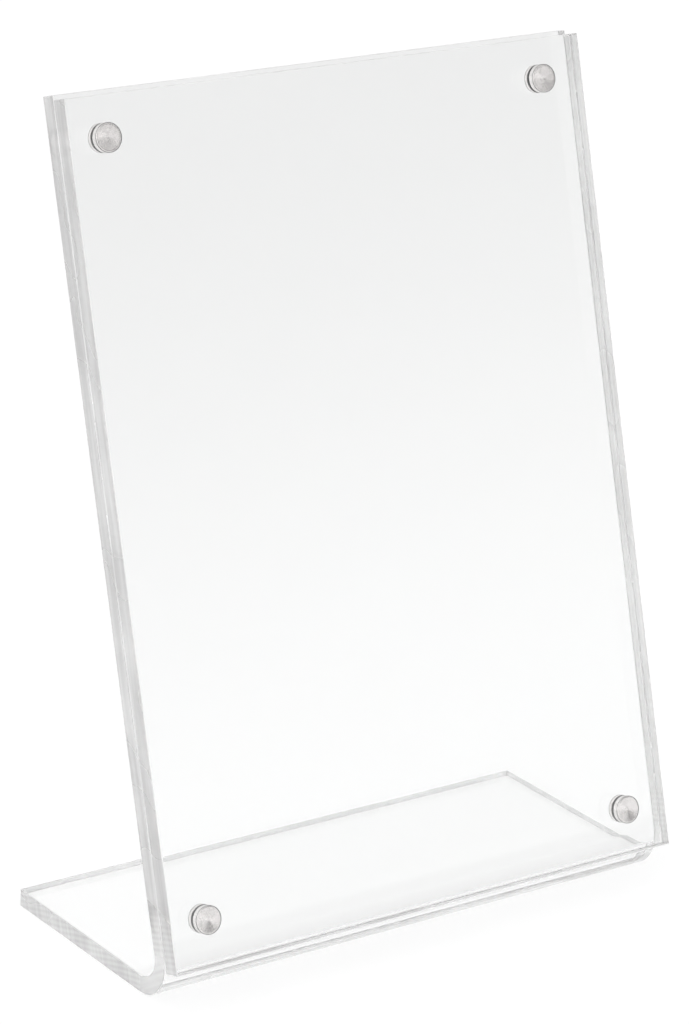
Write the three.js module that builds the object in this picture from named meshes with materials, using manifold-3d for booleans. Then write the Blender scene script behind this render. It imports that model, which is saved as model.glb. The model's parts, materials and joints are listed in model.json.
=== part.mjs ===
// A slanted tabletop stand for one print, in clear acrylic, held shut by magnets.
//
// The back sheet is bent once near its foot, so that it gives a panel that leans back and a
// base that runs backwards under it. A loose front panel of the same outline lies against it,
// and a print goes between the two. A round magnet sits in a blind pocket at each corner of
// both sheets, glued in from the mating face, and the four pairs pull the sheets together.
//
// Millimetres. X runs to the right as the stand is looked at from the front, Y runs backwards
// and Z up. The origin is on the table, under the middle of the stand.

import * as THREE from "three";
import { mergeVertices } from "three/addons/utils/BufferGeometryUtils.js";
import Module from "manifold-3d";

const wasm = await Module();
wasm.setup();

// ---- Driving dimensions -------------------------------------------------------------------

const PANEL_WIDTH = 127; // both sheets, side to side
const FRONT_PANEL_HEIGHT = 176.4; // along the slope
const BACK_TOP_STEP = 0.9; // how far the back panel stands above the front one
const SHEET_THICKNESS = 3.9; // clear sheet sold as 4 mm
const SHEET_GAP = 0.3; // between the closed sheets, where the print goes

const LEAN_ANGLE = 15.5; // degrees, from upright
const FRONT_PANEL_LIFT = 9.1; // lower front edge of the front panel above the table
const BASE_DEPTH = 61.5; // lower front edge of the front panel to the back of the base
const BEND_INNER_RADIUS = 5.1;

const MAGNET_DIAMETER = 6;
const FRONT_MAGNET_LENGTH = 2.5;
const REAR_MAGNET_LENGTH = 2;
const MAGNET_CHAMFER = 0.2;
const MAGNET_INSET = 9.5; // magnet axis to the side, lower and upper edges
const MAGNET_RECESS = 0.15; // magnet below the mating face
const GLUE_GAP = 0.25; // round the magnet, and under it

// ---- Fineness of the faceted solids -------------------------------------------------------

const ROUND_SEGMENTS = 48;
const BEND_SEGMENTS = 24;
const POCKET_OVERCUT = 1; // how far a pocket's cutter stands out of the face it opens in

// ---- Derived places -----------------------------------------------------------------------

const lean = THREE.MathUtils.degToRad(LEAN_ANGLE);
const upSlope = new THREE.Vector2(Math.sin(lean), Math.cos(lean)); // in the Y, Z plane
const intoPanel = new THREE.Vector2(Math.cos(lean), -Math.sin(lean)); // square to the sheets
const panelFoot = new THREE.Vector2(-BASE_DEPTH / 2, FRONT_PANEL_LIFT);
const baseBack = BASE_DEPTH / 2;

const backPanelTop = FRONT_PANEL_HEIGHT + BACK_TOP_STEP; // along the slope
const backFrontFace = SHEET_THICKNESS + SHEET_GAP; // depths behind the front panel's face
const backRearFace = backFrontFace + SHEET_THICKNESS;

const bendOuterRadius = BEND_INNER_RADIUS + SHEET_THICKNESS;
const bendCentreDepth = backFrontFace + bendOuterRadius;
const bendDrop = (bendOuterRadius - panelFoot.y) * upSlope.x;
const bendCentre = new THREE.Vector2(
  panelFoot.x + (bendCentreDepth + bendDrop) / intoPanel.x,
  bendOuterRadius,
);

const magnetRadius = MAGNET_DIAMETER / 2;
const pocketRadius = magnetRadius + GLUE_GAP;

// ---- Materials ----------------------------------------------------------------------------

const clearAcrylic = () =>
  new THREE.MeshStandardMaterial({
    color: 0xf3f5f5,
    roughness: 0.05,
    metalness: 0,
    transparent: true,
    opacity: 0.35,
  });

const nickelPlate = () =>
  new THREE.MeshStandardMaterial({ color: 0xc8c6c2, roughness: 0.3, metalness: 1 });

// ---- Solids and cuts ----------------------------------------------------------------------

function toSolid(geometry) {
  const bare = geometry.clone();
  bare.deleteAttribute("normal");
  bare.deleteAttribute("uv");
  const merged = mergeVertices(bare);
  const mesh = new wasm.Mesh({
    numProp: 3,
    vertProperties: new Float32Array(merged.attributes.position.array),
    triVerts: new Uint32Array(merged.index.array),
  });
  return new wasm.Manifold(mesh);
}

function toGeometry(solid) {
  const mesh = solid.getMesh();
  const geometry = new THREE.BufferGeometry();
  geometry.setAttribute("position", new THREE.BufferAttribute(mesh.vertProperties, 3));
  geometry.setIndex(new THREE.BufferAttribute(mesh.triVerts, 1));
  geometry.computeVertexNormals();
  return geometry;
}

function cutPockets(geometry, cutters) {
  let solid = toSolid(geometry);
  for (const cutter of cutters) {
    solid = solid.subtract(toSolid(cutter));
  }
  return toGeometry(solid);
}

function namedMesh(name, geometry, material) {
  const mesh = new THREE.Mesh(geometry, material);
  mesh.name = name;
  return mesh;
}

// ---- The slope's own frame ----------------------------------------------------------------
// X as before, Y into the sheets from the front panel's face, Z up the slope from its foot.

function slopeGroup() {
  const group = new THREE.Group();
  group.position.set(0, panelFoot.x, panelFoot.y);
  group.rotation.x = -lean;
  group.updateMatrix();
  return group;
}

// ---- Magnets and their pockets ------------------------------------------------------------

const corners = [];
for (const [level, height] of [["bottom", MAGNET_INSET], ["top", backPanelTop - MAGNET_INSET]]) {
  for (const [side, sign] of [["left", -1], ["right", 1]]) {
    corners.push({ name: `${level}_${side}`, x: sign * (PANEL_WIDTH / 2 - MAGNET_INSET), z: height });
  }
}

function magnetGeometry(length) {
  const flat = magnetRadius - MAGNET_CHAMFER;
  const profile = [
    [0, 0],
    [flat, 0],
    [magnetRadius, MAGNET_CHAMFER],
    [magnetRadius, length - MAGNET_CHAMFER],
    [flat, length],
    [0, length],
  ];
  const points = profile.map(([radius, y]) => new THREE.Vector2(radius, y));
  return new THREE.LatheGeometry(points, ROUND_SEGMENTS);
}

// A pocket's cutter spans the depths from near to far, in the slope's frame.
function pocketCutters(near, far) {
  return corners.map(({ x, z }) => {
    const cutter = new THREE.CylinderGeometry(pocketRadius, pocketRadius, far - near, ROUND_SEGMENTS);
    cutter.translate(x, (near + far) / 2, z);
    return cutter;
  });
}

function addMagnets(group, prefix, startDepth, length) {
  for (const { name, x, z } of corners) {
    const magnet = namedMesh(`${prefix}_${name}`, magnetGeometry(length), nickelPlate());
    magnet.position.set(x, startDepth, z);
    group.add(magnet);
  }
}

// ---- Front panel --------------------------------------------------------------------------

function frontPanelGeometry() {
  const sheet = new THREE.BoxGeometry(PANEL_WIDTH, SHEET_THICKNESS, FRONT_PANEL_HEIGHT);
  sheet.translate(0, SHEET_THICKNESS / 2, FRONT_PANEL_HEIGHT / 2);
  const pocketFloor = SHEET_THICKNESS - MAGNET_RECESS - FRONT_MAGNET_LENGTH - GLUE_GAP;
  return cutPockets(sheet, pocketCutters(pocketFloor, SHEET_THICKNESS + POCKET_OVERCUT));
}

// ---- Back stand ---------------------------------------------------------------------------

// A point of the side profile, from its depth behind the front panel's face and its height
// up the slope.
function onSlope(depth, height) {
  return panelFoot.clone().addScaledVector(intoPanel, depth).addScaledVector(upSlope, height);
}

function backStandProfile() {
  const downwards = 1.5 * Math.PI;
  const forwards = Math.PI - lean;
  const topFront = onSlope(backFrontFace, backPanelTop);
  const topRear = onSlope(backRearFace, backPanelTop);
  const profile = new THREE.Shape();
  profile.moveTo(baseBack, SHEET_THICKNESS);
  profile.lineTo(baseBack, 0);
  profile.absarc(bendCentre.x, bendCentre.y, bendOuterRadius, downwards, forwards, true);
  profile.lineTo(topFront.x, topFront.y);
  profile.lineTo(topRear.x, topRear.y);
  profile.absarc(bendCentre.x, bendCentre.y, BEND_INNER_RADIUS, forwards, downwards, false);
  profile.closePath();
  return profile;
}

function backStandGeometry() {
  const bent = new THREE.ExtrudeGeometry(backStandProfile(), {
    depth: PANEL_WIDTH,
    steps: 1,
    bevelEnabled: false,
    curveSegments: BEND_SEGMENTS,
  });
  const xAxis = new THREE.Vector3(1, 0, 0);
  const yAxis = new THREE.Vector3(0, 1, 0);
  const zAxis = new THREE.Vector3(0, 0, 1);
  bent.applyMatrix4(new THREE.Matrix4().makeBasis(yAxis, zAxis, xAxis));
  bent.translate(-PANEL_WIDTH / 2, 0, 0);

  const pocketFloor = backFrontFace + MAGNET_RECESS + REAR_MAGNET_LENGTH + GLUE_GAP;
  const cutters = pocketCutters(backFrontFace - POCKET_OVERCUT, pocketFloor);
  const placement = slopeGroup().matrix;
  for (const cutter of cutters) {
    cutter.applyMatrix4(placement);
  }
  return cutPockets(bent, cutters);
}

// ---- Assembly -----------------------------------------------------------------------------

const frontPanelAssembly = slopeGroup();
frontPanelAssembly.add(namedMesh("front_panel", frontPanelGeometry(), clearAcrylic()));
const frontMagnetStart = SHEET_THICKNESS - MAGNET_RECESS - FRONT_MAGNET_LENGTH;
addMagnets(frontPanelAssembly, "front_magnet", frontMagnetStart, FRONT_MAGNET_LENGTH);

const rearMagnets = slopeGroup();
addMagnets(rearMagnets, "rear_magnet", backFrontFace + MAGNET_RECESS, REAR_MAGNET_LENGTH);

const standAssembly = new THREE.Group();
standAssembly.add(namedMesh("back_stand", backStandGeometry(), clearAcrylic()));
standAssembly.add(rearMagnets);

const photoStand = new THREE.Group();
photoStand.add(standAssembly);
photoStand.add(frontPanelAssembly);

export default photoStand;
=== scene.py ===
import json
import math

import bmesh
import bpy
from mathutils import Matrix, Vector


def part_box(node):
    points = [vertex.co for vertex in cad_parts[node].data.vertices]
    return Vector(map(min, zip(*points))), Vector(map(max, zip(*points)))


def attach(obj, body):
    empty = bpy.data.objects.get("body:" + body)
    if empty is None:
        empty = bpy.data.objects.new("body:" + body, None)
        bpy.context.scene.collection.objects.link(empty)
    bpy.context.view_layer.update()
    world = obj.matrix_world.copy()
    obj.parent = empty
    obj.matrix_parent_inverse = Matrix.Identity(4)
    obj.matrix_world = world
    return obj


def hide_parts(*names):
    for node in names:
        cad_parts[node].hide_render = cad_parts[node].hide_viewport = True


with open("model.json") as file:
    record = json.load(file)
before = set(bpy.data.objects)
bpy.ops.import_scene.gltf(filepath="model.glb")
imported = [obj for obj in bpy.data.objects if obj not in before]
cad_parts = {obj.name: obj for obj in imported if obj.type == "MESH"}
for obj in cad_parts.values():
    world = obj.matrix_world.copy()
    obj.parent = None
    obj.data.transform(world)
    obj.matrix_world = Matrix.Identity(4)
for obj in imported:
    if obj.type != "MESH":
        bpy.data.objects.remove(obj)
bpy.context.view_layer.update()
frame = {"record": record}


# ==== Camera ===============================================================================
# A long lens a little above the stand and to its left, far enough off that the sheets' edges
# stay nearly parallel. It is tipped a little clockwise.

CAMERA_PLACE = Vector((-0.46807, -0.64895, 0.37247))
CAMERA_YAW = math.radians(35.545)  # from straight at the panel towards +X
CAMERA_PITCH = math.radians(19.624)  # downwards
CAMERA_ROLL = math.radians(2.037)
CAMERA_LENS = 143.39

sight = Vector((
    math.sin(CAMERA_YAW) * math.cos(CAMERA_PITCH),
    math.cos(CAMERA_YAW) * math.cos(CAMERA_PITCH),
    -math.sin(CAMERA_PITCH),
))
level = Vector((math.cos(CAMERA_YAW), -math.sin(CAMERA_YAW), 0))
upright = level.cross(sight)
rightwards = math.cos(CAMERA_ROLL) * level + math.sin(CAMERA_ROLL) * upright
upwards = math.cos(CAMERA_ROLL) * upright - math.sin(CAMERA_ROLL) * level

scene = bpy.context.scene
camera = bpy.data.objects.new("camera", bpy.data.cameras.new("camera"))
camera.data.lens = CAMERA_LENS
camera.matrix_world = Matrix.LocRotScale(
    CAMERA_PLACE, Matrix((rightwards, upwards, -sight)).transposed(), None
)
scene.collection.objects.link(camera)
scene.camera = camera


# ==== Table and studio light ===============================================================
# A white table lit from above and below, in a white tent that is a little greyer behind the
# stand. A soft box hangs high at the front left, and a dim opening at the front right is what
# the leaning panel mirrors, more and more towards its top.

TABLE_SIZE = 24.0
TABLE_WHITE = 0.24
TABLE_GLOW = 0.74  # the table top is lit from below too, so that shadows on it are faint
TABLE_ROUGHNESS = 0.9
TABLE_DROP = 0.0001  # below the base, so that their faces don't lie in one plane
TENT_WHITE = 1.06
TENT_BEHIND = 0.90
BEHIND_SIDES = (-0.25, 0.35)  # from in front to behind, as the Y of a level direction
BEHIND_HEIGHTS = (0.7, 0.2)  # sines of the heights at which the tent is white and greyer
SOFT_BOX = Vector((-0.60, -0.45, 0.66)).normalized()
SOFT_BOX_CORE = math.radians(18)
SOFT_BOX_EDGE = math.radians(42)
SOFT_BOX_WHITE = 1.15  # on top of the tent
OPENING_MIDDLE = math.radians(-57)  # from +X, towards the front right
OPENING_CORE = math.radians(8)  # to each side of its middle
OPENING_EDGE = math.radians(20)
OPENING_FOOT = (math.radians(1.2), math.radians(12.8))  # from white to dim, above the horizon
OPENING_TOP = (math.radians(22), math.radians(38))  # and back to white
OPENING_DIM = 0.01
LONGEST_PATH = 48  # bounces, because light runs the whole width of a sheet between its faces


class Socket:
    """A socket of a node tree that adds, subtracts and multiplies as a number does."""

    def __init__(self, tree, socket=None):
        self.tree = tree
        self.socket = socket

    def node(self, kind, settings=None, inputs=None, output=0):
        made = self.tree.nodes.new(kind)
        for name, value in (settings or {}).items():
            setattr(made, name, value)
        for name, value in (inputs or {}).items():
            if isinstance(value, Socket):
                self.tree.links.new(value.socket, made.inputs[name])
            else:
                made.inputs[name].default_value = value
        return Socket(self.tree, made.outputs[output] if made.outputs else None)

    def maths(self, operation, *values):
        return self.node("ShaderNodeMath", {"operation": operation}, dict(enumerate(values)))

    def __add__(self, other):
        return self.maths("ADD", self, other)

    def __radd__(self, other):
        return self.maths("ADD", other, self)

    def __sub__(self, other):
        return self.maths("SUBTRACT", self, other)

    def __rsub__(self, other):
        return self.maths("SUBTRACT", other, self)

    def __mul__(self, other):
        return self.maths("MULTIPLY", self, other)

    def __rmul__(self, other):
        return self.maths("MULTIPLY", other, self)

    def into(self, node, name):
        self.tree.links.new(self.socket, node.inputs[name])

    def smooth(self, start, end, low=0.0, high=1.0):
        """low at start, high at end, with a smooth run between them."""
        return self.node(
            "ShaderNodeMapRange",
            {"interpolation_type": "SMOOTHSTEP"},
            {"Value": self, "From Min": start, "From Max": end, "To Min": low, "To Max": high},
        )


def new_object(name, mesh):
    made = bpy.data.objects.new(name, mesh)
    scene.collection.objects.link(made)
    return made


def studio_world():
    world = bpy.data.worlds.new("studio")
    world.use_nodes = True
    tree = world.node_tree
    direction = Socket(tree).node("ShaderNodeTexCoord")
    split = direction.node("ShaderNodeSeparateXYZ", {}, {0: direction})
    x, y, z = (Socket(tree, socket) for socket in split.socket.node.outputs)
    behind = y.smooth(*BEHIND_SIDES) * z.smooth(*BEHIND_HEIGHTS)
    tent = TENT_WHITE - (TENT_WHITE - TENT_BEHIND) * behind
    turned = direction.node(
        "ShaderNodeVectorMath", {"operation": "DOT_PRODUCT"}, {0: direction, 1: SOFT_BOX}, "Value"
    )
    lamp = turned.smooth(math.cos(SOFT_BOX_EDGE), math.cos(SOFT_BOX_CORE), 0.0, SOFT_BOX_WHITE)
    bearing = y.maths("ARCTAN2", y, x) - OPENING_MIDDLE
    aside = bearing.maths("ABSOLUTE", bearing)
    height = z.maths("ARCSINE", z)
    opening = aside.smooth(OPENING_EDGE, OPENING_CORE)
    opening = opening * height.smooth(*OPENING_FOOT) * height.smooth(*reversed(OPENING_TOP))
    light = (tent + lamp) * (1 - (1 - OPENING_DIM) * opening)
    light.into(tree.nodes["Background"], "Color")
    return world


def table():
    half = TABLE_SIZE / 2
    mesh = bpy.data.meshes.new("table")
    corners = [(-half, -half, 0), (half, -half, 0), (half, half, 0), (-half, half, 0)]
    mesh.from_pydata(corners, [], [(0, 1, 2, 3)])
    paint = bpy.data.materials.new("white_table")
    paint.use_nodes = True
    surface = paint.node_tree.nodes["Principled BSDF"]
    surface.inputs["Base Color"].default_value = (TABLE_WHITE, TABLE_WHITE, TABLE_WHITE, 1)
    surface.inputs["Roughness"].default_value = TABLE_ROUGHNESS
    surface.inputs["Specular IOR Level"].default_value = 0.0
    surface.inputs["Emission Color"].default_value = (TABLE_GLOW, TABLE_GLOW, TABLE_GLOW, 1)
    surface.inputs["Emission Strength"].default_value = 1.0
    mesh.materials.append(paint)
    made = new_object("table", mesh)
    made.location.z = -TABLE_DROP
    return made


scene.world = studio_world()
scene.view_settings.view_transform = "Standard"
scene.cycles.blur_glossy = 0.0
scene.cycles.max_bounces = LONGEST_PATH
scene.cycles.glossy_bounces = LONGEST_PATH
scene.cycles.transmission_bounces = LONGEST_PATH
table()


# ==== Back stand ===========================================================================
# One strip of clear cast acrylic, sawn to size and heated along a line near its foot, so that
# it bends into a leaning panel and a base. Its sawn edges are flame-polished, and each corner
# of the panel has a blind pocket drilled in its front face, whose wall is painted near-black as
# shade.

MM = 0.001
ARRIS = 0.15 * MM  # the small round on every edge
ARRIS_STEPS = 3
ARRIS_ANGLE = math.radians(60)  # edges sharper than this get an arris at the sawn ends
SHORTEST_EDGE = 0.03 * MM  # shorter ones, where arrises meet at a corner, are merged
BEND_STEPS = 40
BEND_INNER_RADIUS = 5.1 * MM
POCKET_CLEARANCE = -0.01 * MM  # the glue leaves no air round the magnet, or under it
POCKET_SEGMENTS = 96
DRILL_OVERSHOOT = 2 * MM  # past the mouth of a pocket, so that it is cut open
SHARP = math.radians(30)
FLATNESS = 100  # how far large faces outweigh the arrises beside them in the shading
SQUARE = 0.98  # cosine to an edge's own direction, below which a face belongs to an arris
# The pocket walls' near-black colours are painted shade, for the dark rim beside each magnet.
POCKET_SHADE_DARK = (0.02, 0.02, 0.02, 1)
POCKET_SHADE_LIGHT = (0.12, 0.12, 0.12, 1)
POCKET_SHADE_SCALE = 900.0
POCKET_WALL_ROUGHNESS = (0.3, 0.6)
ACRYLIC_IOR = 1.49
ACRYLIC_CLEAR = (0.980, 0.982, 0.981, 1)
ACRYLIC_BEND_HAZE_AND_TOP_SHADE = (0.90, 0.90, 0.90, 1)  # hazed a little inside the bend; greyer along the top as painted shade
BEND_HAZE = 1 * MM  # how far into the sheet from the bend's inner face
TOP_SHADE_REACH = 0.9 * MM  # how far below the top edge the faces are tinted greyer, as painted shade
TOP_SHADE_BLUR = 0.1 * MM
WAVINESS = 0.03 * MM  # of the cast faces
WAVINESS_SCALE = 45.0
WIPE_SCALE = 300.0
WIPE_COVER = (0.62, 0.85)  # noise at which a wipe mark starts, and is whole
WIPE_ROUGHNESS = 0.02
EDGE_CONTRAST = 0.24  # between the dullest and the brightest streaks
EDGE_RELIEF = 0.005 * MM
NOISE_RANGE = (0.3, 0.7)  # nearly all of a noise's values lie in it
PATCH_RANGE = (0.35, 0.65)
STREAK_SHARE = 0.6  # of the haze; the broader patches make the rest
CHATTER_SHARE = 0.35
STREAK_RELIEF = 0.3  # beside the chatter's
EDGE_BUMP = 0.6
STREAK_STRETCH = 0.95
STREAK_SCALE = 900.0
PATCH_SCALE = 60.0
SLANTED_STROKES = Vector((0, -0.85, 0.53)).normalized()
SAW_PITCH = 1.2 * MM
SAW_WANDER = 1.5 * MM
SAW_FADE = (24 * MM, 15 * MM)  # height on the table at which the chatter starts, and is whole
TOP_SPECULAR = 0.1  # the top edge was left matt

mounts = {mount["name"]: mount for mount in frame["record"]["mounts"]}
thickness = mounts["base_top"]["pos_m"][2] - mounts["underside"]["pos_m"][2]
panel_facing = Vector(mounts["panel_front"]["axis"])
lean = math.atan2(panel_facing.z, -panel_facing.y)
front_low, front_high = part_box("front_panel")
back_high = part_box("back_stand")[1]
sheet_width = front_high.x - front_low.x
front_height = (front_high.z - front_low.z - thickness * math.sin(lean)) / math.cos(lean)

# The slope's own frame: X into the sheets from the front panel's face, Y up the slope from the
# front panel's foot, Z across to the right.
into_sheets = -panel_facing
up_slope = Vector((0, math.sin(lean), math.cos(lean)))
across = Vector((1, 0, 0))
foot = Vector(mounts["panel_front"]["pos_m"]) - up_slope * front_height / 2
slope = Matrix.LocRotScale(foot, Matrix((into_sheets, up_slope, across)).transposed(), None)


class Magnet:
    """One magnet's place, length and radius, in the slope's own frame."""

    def __init__(self, node):
        low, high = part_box(node)
        self.node = node
        self.radius = (high.x - low.x) / 2
        self.length = (high.y - low.y - 2 * self.radius * math.sin(lean)) / math.cos(lean)
        self.middle = slope.inverted() @ ((low + high) / 2)


CORNERS = ["bottom_left", "bottom_right", "top_left", "top_right"]
front_magnets = [Magnet(f"front_magnet_{corner}") for corner in CORNERS]
rear_magnets = [Magnet(f"rear_magnet_{corner}") for corner in CORNERS]

sheet_gap = (slope.inverted() @ Vector(mounts["panel_rear"]["pos_m"])).x - 2 * thickness
back_middle = thickness * 1.5 + sheet_gap
back_top = (back_high.z - foot.z + (thickness + sheet_gap) * math.sin(lean)) / math.cos(lean)

# The middle of the back sheet's thickness runs from the base's back, round the bend, to the top.
base_direction = slope.inverted().to_3x3() @ Vector((0, 1, 0))
base_back = slope.inverted() @ Vector((0, back_high.y, thickness / 2))
panel_top = Vector((back_middle, back_top, 0))
run = (back_middle - base_back.x) / base_direction.x
bend_corner = base_back + base_direction * run
bend_radius = BEND_INNER_RADIUS + thickness / 2
to_base = (base_back - bend_corner).normalized()
to_top = (panel_top - bend_corner).normalized()
bisector = (to_base + to_top).normalized()
bend_centre = bend_corner + bisector * bend_radius / math.sin(bisector.angle(to_top))


def group_tree(name, inputs):
    """A geometry node group with a mesh in, a mesh out and the named inputs."""
    tree = bpy.data.node_groups.new(name, "GeometryNodeTree")
    tree.interface.new_socket("Mesh", in_out="INPUT", socket_type="NodeSocketGeometry")
    tree.interface.new_socket("Mesh", in_out="OUTPUT", socket_type="NodeSocketGeometry")
    for label, kind in inputs.items():
        tree.interface.new_socket(label, in_out="INPUT", socket_type=kind)
    entry = tree.nodes.new("NodeGroupInput")
    return tree, {socket.name: Socket(tree, socket) for socket in entry.outputs if socket.name}


def close_tree(tree, geometry, material):
    real = geometry.node("GeometryNodeRealizeInstances", {}, {0: geometry})
    painted = real.node("GeometryNodeSetMaterial", {}, {"Geometry": real, "Material": material})
    painted.into(tree.nodes.new("NodeGroupOutput"), 0)


def add_nodes(piece, tree, values):
    modifier = piece.modifiers.new(tree.name, "NODES")
    modifier.node_group = tree
    for item in tree.interface.items_tree:
        if item.in_out == "INPUT" and item.name in values:
            modifier[item.identifier] = values[item.name]


def bake(piece):
    """Turns what the piece's modifiers make into its own mesh."""
    ready = bpy.context.evaluated_depsgraph_get()
    mesh = bpy.data.meshes.new_from_object(
        piece.evaluated_get(ready), preserve_all_data_layers=True, depsgraph=ready
    )
    piece.modifiers.clear()
    piece.data = mesh


def sweep_tree(material):
    """A sheet with rounded arrises, along a path that bends at its corners."""
    tree, given = group_tree("bent_sheet", {
        "Width": "NodeSocketFloat",
        "Thickness": "NodeSocketFloat",
        "Arris": "NodeSocketFloat",
        "Bend Radius": "NodeSocketFloat",
    })
    path = given["Mesh"].node("GeometryNodeMeshToCurve", {}, {"Mesh": given["Mesh"]})
    path = path.node(
        "GeometryNodeFilletCurve",
        {"mode": "POLY"},
        {"Curve": path, "Count": BEND_STEPS, "Radius": given["Bend Radius"]},
    )
    path = path.node("GeometryNodeSetCurveNormal", {"mode": "Z_UP"}, {"Curve": path})
    section = path.node(
        "GeometryNodeCurvePrimitiveQuadrilateral",
        {"mode": "RECTANGLE"},
        {"Width": given["Thickness"], "Height": given["Width"]},
    )
    section = section.node(
        "GeometryNodeFilletCurve",
        {"mode": "POLY"},
        {"Curve": section, "Count": ARRIS_STEPS, "Radius": given["Arris"]},
    )
    sheet = section.node(
        "GeometryNodeCurveToMesh", {}, {"Curve": path, "Profile Curve": section, "Fill Caps": True}
    )
    close_tree(tree, sheet, material)
    return tree


def pocket_tree(material):
    """Round pockets cut at each of another object's points."""
    tree, given = group_tree("pockets", {
        "Places": "NodeSocketObject",
        "Radius": "NodeSocketFloat",
        "Depth": "NodeSocketFloat",
    })
    drill = given["Mesh"].node(
        "GeometryNodeMeshCylinder",
        {},
        {"Vertices": POCKET_SEGMENTS, "Radius": given["Radius"], "Depth": given["Depth"]},
    )
    places = drill.node("GeometryNodeObjectInfo", {}, {"Object": given["Places"]}, "Geometry")
    drills = drill.node(
        "GeometryNodeInstanceOnPoints",
        {},
        {"Points": places, "Instance": drill, "Rotation": (0, math.pi / 2, 0)},
    )
    drills = drills.node("GeometryNodeRealizeInstances", {}, {0: drills})
    cut = drills.node(
        "GeometryNodeMeshBoolean",
        {"operation": "DIFFERENCE", "solver": "EXACT"},
        {"Mesh 1": given["Mesh"], "Mesh 2": drills},
    )
    close_tree(tree, cut, material)
    return tree


def line_mesh(name, points, edges):
    mesh = bpy.data.meshes.new(name)
    mesh.from_pydata(points, edges, [])
    return mesh


def polished_acrylic():
    """Clear acrylic as cast: glass-smooth, with the faintest waviness and wipe marks."""
    material = bpy.data.materials.new("acrylic_polished")
    material.use_nodes = True
    tree = material.node_tree
    surface = tree.nodes["Principled BSDF"]
    surface.inputs["IOR"].default_value = ACRYLIC_IOR
    surface.inputs["Transmission Weight"].default_value = 1.0
    place = Socket(tree).node("ShaderNodeTexCoord", {}, {}, "Object")
    from_axis = place.node(
        "ShaderNodeVectorMath", {"operation": "SUBTRACT"}, {0: place, 1: slope @ bend_centre}
    )
    in_plane = place.node(
        "ShaderNodeVectorMath", {"operation": "MULTIPLY"}, {0: from_axis, 1: (0, 1, 1)}
    )
    distance = place.node("ShaderNodeVectorMath", {"operation": "LENGTH"}, {0: in_plane}, "Value")
    above_foot = place.node("ShaderNodeVectorMath", {"operation": "SUBTRACT"}, {0: place, 1: foot})
    height = place.node(
        "ShaderNodeVectorMath", {"operation": "DOT_PRODUCT"}, {0: above_foot, 1: up_slope}, "Value"
    )
    top_shade_foot = back_top - TOP_SHADE_REACH
    painted_top_shade = height.smooth(top_shade_foot - TOP_SHADE_BLUR, top_shade_foot + TOP_SHADE_BLUR)
    in_bend = distance.smooth(BEND_INNER_RADIUS + BEND_HAZE, BEND_INNER_RADIUS)
    # The bend's haze and the painted shade along the top share one greyer tint.
    haze = in_bend + painted_top_shade
    tone = place.node(
        "ShaderNodeMix", {"data_type": "RGBA"}, {0: haze, 6: ACRYLIC_CLEAR, 7: ACRYLIC_BEND_HAZE_AND_TOP_SHADE}, 2
    )
    tone.into(surface, "Base Color")
    wipes = place.node(
        "ShaderNodeTexNoise", {}, {"Vector": place, "Scale": WIPE_SCALE, "Detail": 4.0}, "Fac"
    )
    wipes.smooth(*WIPE_COVER, 0.0, WIPE_ROUGHNESS).into(surface, "Roughness")
    waves = place.node(
        "ShaderNodeTexNoise", {}, {"Vector": place, "Scale": WAVINESS_SCALE, "Detail": 0.0}, "Fac"
    )
    relief = place.node(
        "ShaderNodeBump", {}, {"Height": waves, "Strength": 1.0, "Distance": WAVINESS}
    )
    relief.into(surface, "Normal")
    return material


def cut_acrylic(name, run, clear, tone, roughness, saw_marks=0.0):
    """An edge sawn along run and then flame-polished, so that it is hazy and faintly streaked.

    clear is the share that isn't haze, tone is the dullest streaks' brightness, and saw_marks
    is how strongly the saw's chatter shows near the foot of the edge.
    """
    dull = (tone, tone * 0.995, tone * 0.995, 1)
    bright = (tone + EDGE_CONTRAST, tone + EDGE_CONTRAST, tone + EDGE_CONTRAST, 1)
    material = bpy.data.materials.new(name)
    material.use_nodes = True
    tree = material.node_tree
    surface = tree.nodes["Principled BSDF"]
    surface.inputs["IOR"].default_value = ACRYLIC_IOR
    surface.inputs["Transmission Weight"].default_value = clear
    place = Socket(tree).node("ShaderNodeTexCoord", {}, {}, "Object")
    along = place.node(
        "ShaderNodeVectorMath", {"operation": "DOT_PRODUCT"}, {0: place, 1: run}, "Value"
    )
    shift = place.node(
        "ShaderNodeVectorMath", {"operation": "SCALE"}, {0: run, "Scale": along * STREAK_STRETCH}
    )
    pulled = place.node("ShaderNodeVectorMath", {"operation": "SUBTRACT"}, {0: place, 1: shift})
    streaks = place.node(
        "ShaderNodeTexNoise", {}, {"Vector": pulled, "Scale": STREAK_SCALE, "Detail": 1.5}, "Fac"
    )
    patches = place.node(
        "ShaderNodeTexNoise", {}, {"Vector": place, "Scale": PATCH_SCALE, "Detail": 1.0}, "Fac"
    )
    foot_height = place.node("ShaderNodeSeparateXYZ", {}, {0: place}, 2)
    near_foot = foot_height.smooth(*SAW_FADE)
    saw = along.maths("SINE", (along + patches * SAW_WANDER) * (2 * math.pi / SAW_PITCH))
    chatter = saw * near_foot * saw_marks
    haze = STREAK_SHARE * streaks.smooth(*NOISE_RANGE)
    haze = haze + (1 - STREAK_SHARE) * patches.smooth(*PATCH_RANGE) - CHATTER_SHARE * chatter
    shade = place.node(
        "ShaderNodeMix", {"data_type": "RGBA"}, {0: haze, 6: dull, 7: bright}, 2
    )
    shade.into(surface, "Base Color")
    patches.smooth(*NOISE_RANGE, roughness, roughness / 2).into(surface, "Roughness")
    height = streaks * STREAK_RELIEF + chatter
    relief = place.node(
        "ShaderNodeBump", {}, {"Height": height, "Strength": EDGE_BUMP, "Distance": EDGE_RELIEF}
    )
    relief.into(surface, "Normal")
    return material


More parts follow.
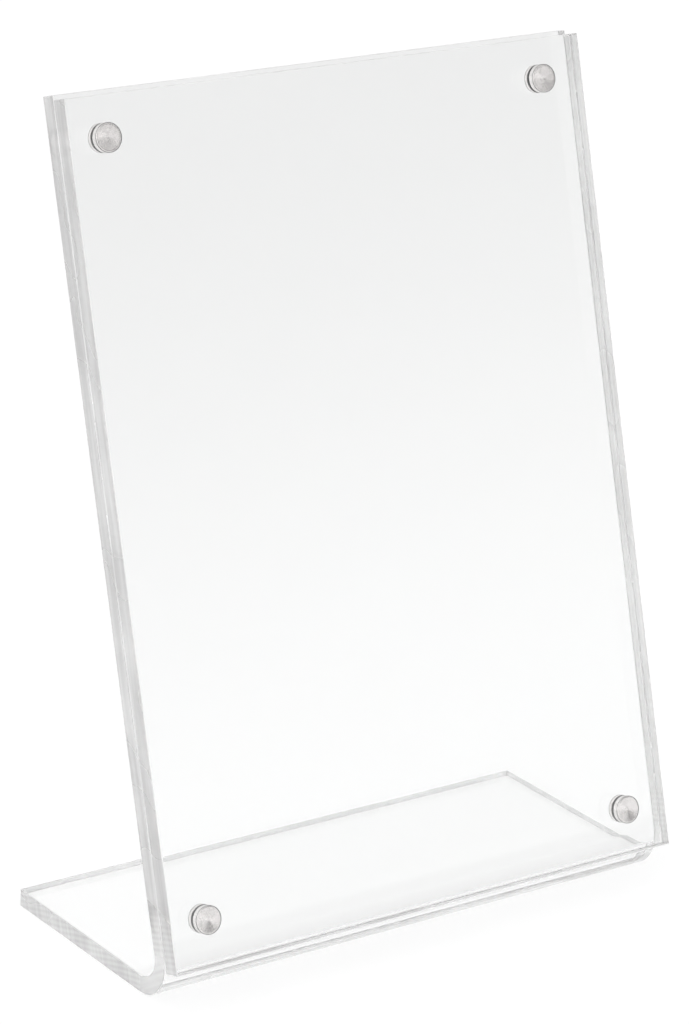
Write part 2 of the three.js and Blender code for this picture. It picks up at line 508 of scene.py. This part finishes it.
def painted_pocket_shade():
    """Painted shade: a near-black, uneven film on a pocket's wall, beyond the magnet's end."""
    material = bpy.data.materials.new("pocket_glue")
    material.use_nodes = True
    tree = material.node_tree
    surface = tree.nodes["Principled BSDF"]
    place = Socket(tree).node("ShaderNodeTexCoord", {}, {}, "Object")
    shade_noise = place.node("ShaderNodeTexNoise", {}, {"Vector": place, "Scale": POCKET_SHADE_SCALE}, "Fac")
    tone = place.node(
        "ShaderNodeMix", {"data_type": "RGBA"}, {0: shade_noise, 6: POCKET_SHADE_DARK, 7: POCKET_SHADE_LIGHT}, 2
    )
    tone.into(surface, "Base Color")
    shade_noise.smooth(*NOISE_RANGE, *POCKET_WALL_ROUGHNESS).into(surface, "Roughness")
    return material


acrylic_face = polished_acrylic()
finishes = {
    "face": acrylic_face,
    "side": cut_acrylic(
        "acrylic_upright_edge", up_slope, clear=0.5, tone=0.60, roughness=0.3, saw_marks=0.6
    ),
    # The top edge's tone is painted shade; it is darker than the other edges' tones.
    "top": cut_acrylic("acrylic_top_edge", across, clear=0.2, tone=0.44, roughness=0.9),
    "end": cut_acrylic("acrylic_end_edge", across, clear=0.72, tone=0.76, roughness=0.4),
    "arris": cut_acrylic("acrylic_scraped_arris", up_slope, clear=0.5, tone=0.62, roughness=0.5),
    # The pocket walls' near-black colour is painted shade.
    "glue": painted_pocket_shade(),
    "bend": cut_acrylic("acrylic_bend_edge", SLANTED_STROKES, clear=0.65, tone=0.76, roughness=0.3),
}
top_surface = finishes["top"].node_tree.nodes["Principled BSDF"]
top_surface.inputs["Specular IOR Level"].default_value = TOP_SPECULAR
sweep = sweep_tree(acrylic_face)
drill_pockets = pocket_tree(acrylic_face)


def finish_of(polygon, magnets, ends):
    """The name of the finish of a sheet's face, from where it is and how it is turned."""
    off_axis = min((polygon.center - magnet.middle).yz.length for magnet in magnets)
    at_end = [facing for at, facing in ends if (polygon.center - at).dot(facing) > -ARRIS]
    at_side = abs(polygon.center.z) > sheet_width / 2 - ARRIS
    squareness = abs(polygon.normal.dot(at_end[0])) if at_end else abs(polygon.normal.z)
    if off_axis < magnets[0].radius + ARRIS:
        return "face" if abs(polygon.normal.x) > SQUARE else "glue"
    if (at_end or at_side) and squareness < SQUARE:
        return "arris"
    if at_end:
        return "top" if polygon.center.y > front_height / 2 else "end"
    if not at_side:
        return "face"
    in_bend = (polygon.center - bend_centre).xy.length < bend_radius + thickness
    return "bend" if in_bend else "side"


def acrylic_sheet(name, path, thickness, bend_radius, magnets, pocket_mouth, ends):
    """A sheet along the path, with its magnets' pockets cut from the pocket_mouth's side.

    ends holds, for each sawn end, a point on it and the direction that it faces.
    """
    steps = [(index, index + 1) for index in range(len(path) - 1)]
    piece = new_object(name, line_mesh(name, path, steps))
    add_nodes(piece, sweep, {
        "Width": sheet_width, "Thickness": thickness, "Arris": ARRIS, "Bend Radius": bend_radius,
    })
    bevel = piece.modifiers.new("end_arrises", "BEVEL")
    bevel.width = ARRIS
    bevel.segments = ARRIS_STEPS
    bevel.limit_method = "ANGLE"
    bevel.angle_limit = ARRIS_ANGLE
    magnet = magnets[0]
    drill_depth = magnet.length + DRILL_OVERSHOOT
    side = math.copysign(1, pocket_mouth - magnet.middle.x)
    floor_depth = magnet.middle.x - side * (magnet.length / 2 + POCKET_CLEARANCE)
    drill_middle = floor_depth + side * drill_depth / 2
    points = [(drill_middle, each.middle.y, each.middle.z) for each in magnets]
    places = new_object("pocket_places", line_mesh("pocket_places", points, []))
    add_nodes(piece, drill_pockets, {
        "Places": places, "Radius": magnet.radius + POCKET_CLEARANCE, "Depth": drill_depth,
    })
    bake(piece)
    bpy.data.objects.remove(places)
    cleaned = bmesh.new()
    cleaned.from_mesh(piece.data)
    bmesh.ops.dissolve_degenerate(cleaned, dist=SHORTEST_EDGE, edges=cleaned.edges)
    cleaned.to_mesh(piece.data)
    cleaned.free()
    for polygon in piece.data.polygons:
        polygon.use_smooth = True
    piece.data.set_sharp_from_angle(angle=SHARP)
    normals = piece.modifiers.new("flat_faces_stay_flat", "WEIGHTED_NORMAL")
    normals.keep_sharp = True
    normals.weight = FLATNESS
    bake(piece)
    piece.data.materials.clear()
    for material in finishes.values():
        piece.data.materials.append(material)
    slots = list(finishes)
    for polygon in piece.data.polygons:
        polygon.material_index = slots.index(finish_of(polygon, magnets, ends))
    piece.data.transform(slope)
    return piece


back_stand = acrylic_sheet(
    "back_stand_acrylic",
    [base_back, bend_corner, panel_top],
    thickness,
    bend_radius,
    rear_magnets,
    thickness + sheet_gap,
    [(base_back, base_direction), (panel_top, Vector((0, 1, 0)))],
)
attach(back_stand, "stand")
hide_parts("back_stand")


# ==== Front panel ==========================================================================
# A loose flat sheet of the same acrylic, a little shorter than the panel that it lies on. Its
# pockets are drilled in its rear face and stop a millimetre short of its front one.

CLOSED_GAP = 0.08 * MM  # what the magnets' pull leaves between the sheets

front_thickness = thickness + sheet_gap - CLOSED_GAP
front_path = [Vector((front_thickness / 2, 0, 0)), Vector((front_thickness / 2, front_height, 0))]
front_panel = acrylic_sheet(
    "front_panel_acrylic",
    front_path,
    front_thickness,
    0.0,
    front_magnets,
    front_thickness,
    [(front_path[0], Vector((0, -1, 0))), (front_path[1], Vector((0, 1, 0)))],
)
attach(front_panel, "front_panel")
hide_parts("front_panel")


# ==== Magnets ==============================================================================
# Nickel-plated neodymium discs, one at each corner of each sheet, glued in their pockets. Both
# ends are turned, which leaves fine rings in them, and their rims are rounded.

RIM_ROUND = 0.28 * MM
RIM_STEPS = 4
TURNED_PITCH = 0.2 * MM
TURNED_SLOPE = math.radians(10)  # of each ring's wide flank, which faces the axis
TURNED_FLANK = 0.8  # share of the pitch that the wide flank takes
TURNED_FLOOR = 0.02  # share of the pitch at which a ring starts
DISC_SEGMENTS = 72
NICKEL_BRIGHT = (0.85, 0.825, 0.82, 1)
NICKEL_DULL = (0.68, 0.66, 0.65, 1)
CLOUD_SCALE = 700.0
GRAIN_SCALE = 9000.0
GRAIN_RELIEF = 0.001 * MM
SPECK_SCALE = 1600.0
SPECK_EDGE = (0.22, 0.12)  # distance from a cell's middle at which a speck starts, and is whole
CLOUD_SHARE = 0.3  # of the dullness
GRAIN_SHARE = 0.15
SPECK_SHARE = 0.5
MOST_DULL = 0.9
PLATE_ROUGHNESS = (0.2, 0.42)


def nickel_plate():
    """Bright nickel: cloudy in places, finely grained, with a few dull specks."""
    material = bpy.data.materials.new("nickel_plate")
    material.use_nodes = True
    tree = material.node_tree
    surface = tree.nodes["Principled BSDF"]
    surface.inputs["Metallic"].default_value = 1.0
    place = Socket(tree).node("ShaderNodeTexCoord", {}, {}, "Object")
    clouds = place.node(
        "ShaderNodeTexNoise", {}, {"Vector": place, "Scale": CLOUD_SCALE, "Detail": 2.0}, "Fac"
    )
    grain = place.node(
        "ShaderNodeTexNoise", {}, {"Vector": place, "Scale": GRAIN_SCALE, "Detail": 1.0}, "Fac"
    )
    cells = place.node("ShaderNodeTexVoronoi", {}, {"Vector": place, "Scale": SPECK_SCALE}, 0)
    dullness = CLOUD_SHARE * clouds.smooth(*PATCH_RANGE) + GRAIN_SHARE * grain
    dullness = dullness + SPECK_SHARE * cells.smooth(*SPECK_EDGE)
    tone = place.node(
        "ShaderNodeMix", {"data_type": "RGBA"}, {0: dullness, 6: NICKEL_BRIGHT, 7: NICKEL_DULL}, 2
    )
    tone.into(surface, "Base Color")
    dullness.smooth(0.0, MOST_DULL, *PLATE_ROUGHNESS).into(surface, "Roughness")
    relief = place.node(
        "ShaderNodeBump", {}, {"Height": grain, "Strength": 1.0, "Distance": GRAIN_RELIEF}
    )
    relief.into(surface, "Normal")
    return material


def disc_mesh(magnet):
    """A lathed disc about the slope frame's X axis, centred on the origin."""
    flat = magnet.radius - RIM_ROUND
    half = magnet.length / 2
    count = round(flat / TURNED_PITCH)
    pitch = flat / count
    groove = pitch * TURNED_FLANK * math.tan(TURNED_SLOPE)
    end = []
    for index in range(count):
        end.append((pitch * (index + TURNED_FLOOR), half - groove))
        end.append((pitch * (index + TURNED_FLANK), half))
    end.append((flat, half - groove / 2))
    for index in range(1, RIM_STEPS + 1):
        angle = math.pi / 2 * index / RIM_STEPS
        reach = RIM_ROUND * math.sin(angle)
        end.append((flat + reach, half - RIM_ROUND + RIM_ROUND * math.cos(angle)))
    profile = end + [(radius, -depth) for radius, depth in reversed(end)]
    mesh = bmesh.new()
    rings = []
    for radius, depth in profile:
        ring = []
        for index in range(DISC_SEGMENTS):
            angle = 2 * math.pi * index / DISC_SEGMENTS
            ring.append(mesh.verts.new((depth, radius * math.cos(angle), radius * math.sin(angle))))
        rings.append(ring)
    near, far = mesh.verts.new((half - groove, 0, 0)), mesh.verts.new((groove - half, 0, 0))
    for index in range(DISC_SEGMENTS):
        after = (index + 1) % DISC_SEGMENTS
        mesh.faces.new((near, rings[0][index], rings[0][after]))
        mesh.faces.new((far, rings[-1][after], rings[-1][index]))
        for ring, outer in zip(rings, rings[1:]):
            mesh.faces.new((ring[index], outer[index], outer[after], ring[after]))
    for face in mesh.faces:
        face.smooth = True
    bmesh.ops.recalc_face_normals(mesh, faces=mesh.faces)
    made = bpy.data.meshes.new("disc")
    mesh.to_mesh(made)
    mesh.free()
    made.set_sharp_from_angle(angle=SHARP)
    return made


def magnet_tree(material):
    """The same disc at each point of the mesh."""
    tree, given = group_tree("magnets", {"Disc": "NodeSocketObject"})
    disc = given["Mesh"].node("GeometryNodeObjectInfo", {}, {"Object": given["Disc"]}, "Geometry")
    discs = disc.node("GeometryNodeInstanceOnPoints", {}, {"Points": given["Mesh"], "Instance": disc})
    close_tree(tree, discs, material)
    return tree


set_discs = magnet_tree(nickel_plate())


def magnet_discs(name, magnets, body):
    disc = new_object("disc", disc_mesh(magnets[0]))
    discs = new_object(name, line_mesh(name, [magnet.middle for magnet in magnets], []))
    add_nodes(discs, set_discs, {"Disc": disc})
    bake(discs)
    bpy.data.objects.remove(disc)
    discs.data.transform(slope)
    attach(discs, body)
    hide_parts(*[magnet.node for magnet in magnets])


magnet_discs("front_magnet_discs", front_magnets, "front_panel")
magnet_discs("rear_magnet_discs", rear_magnets, "stand")
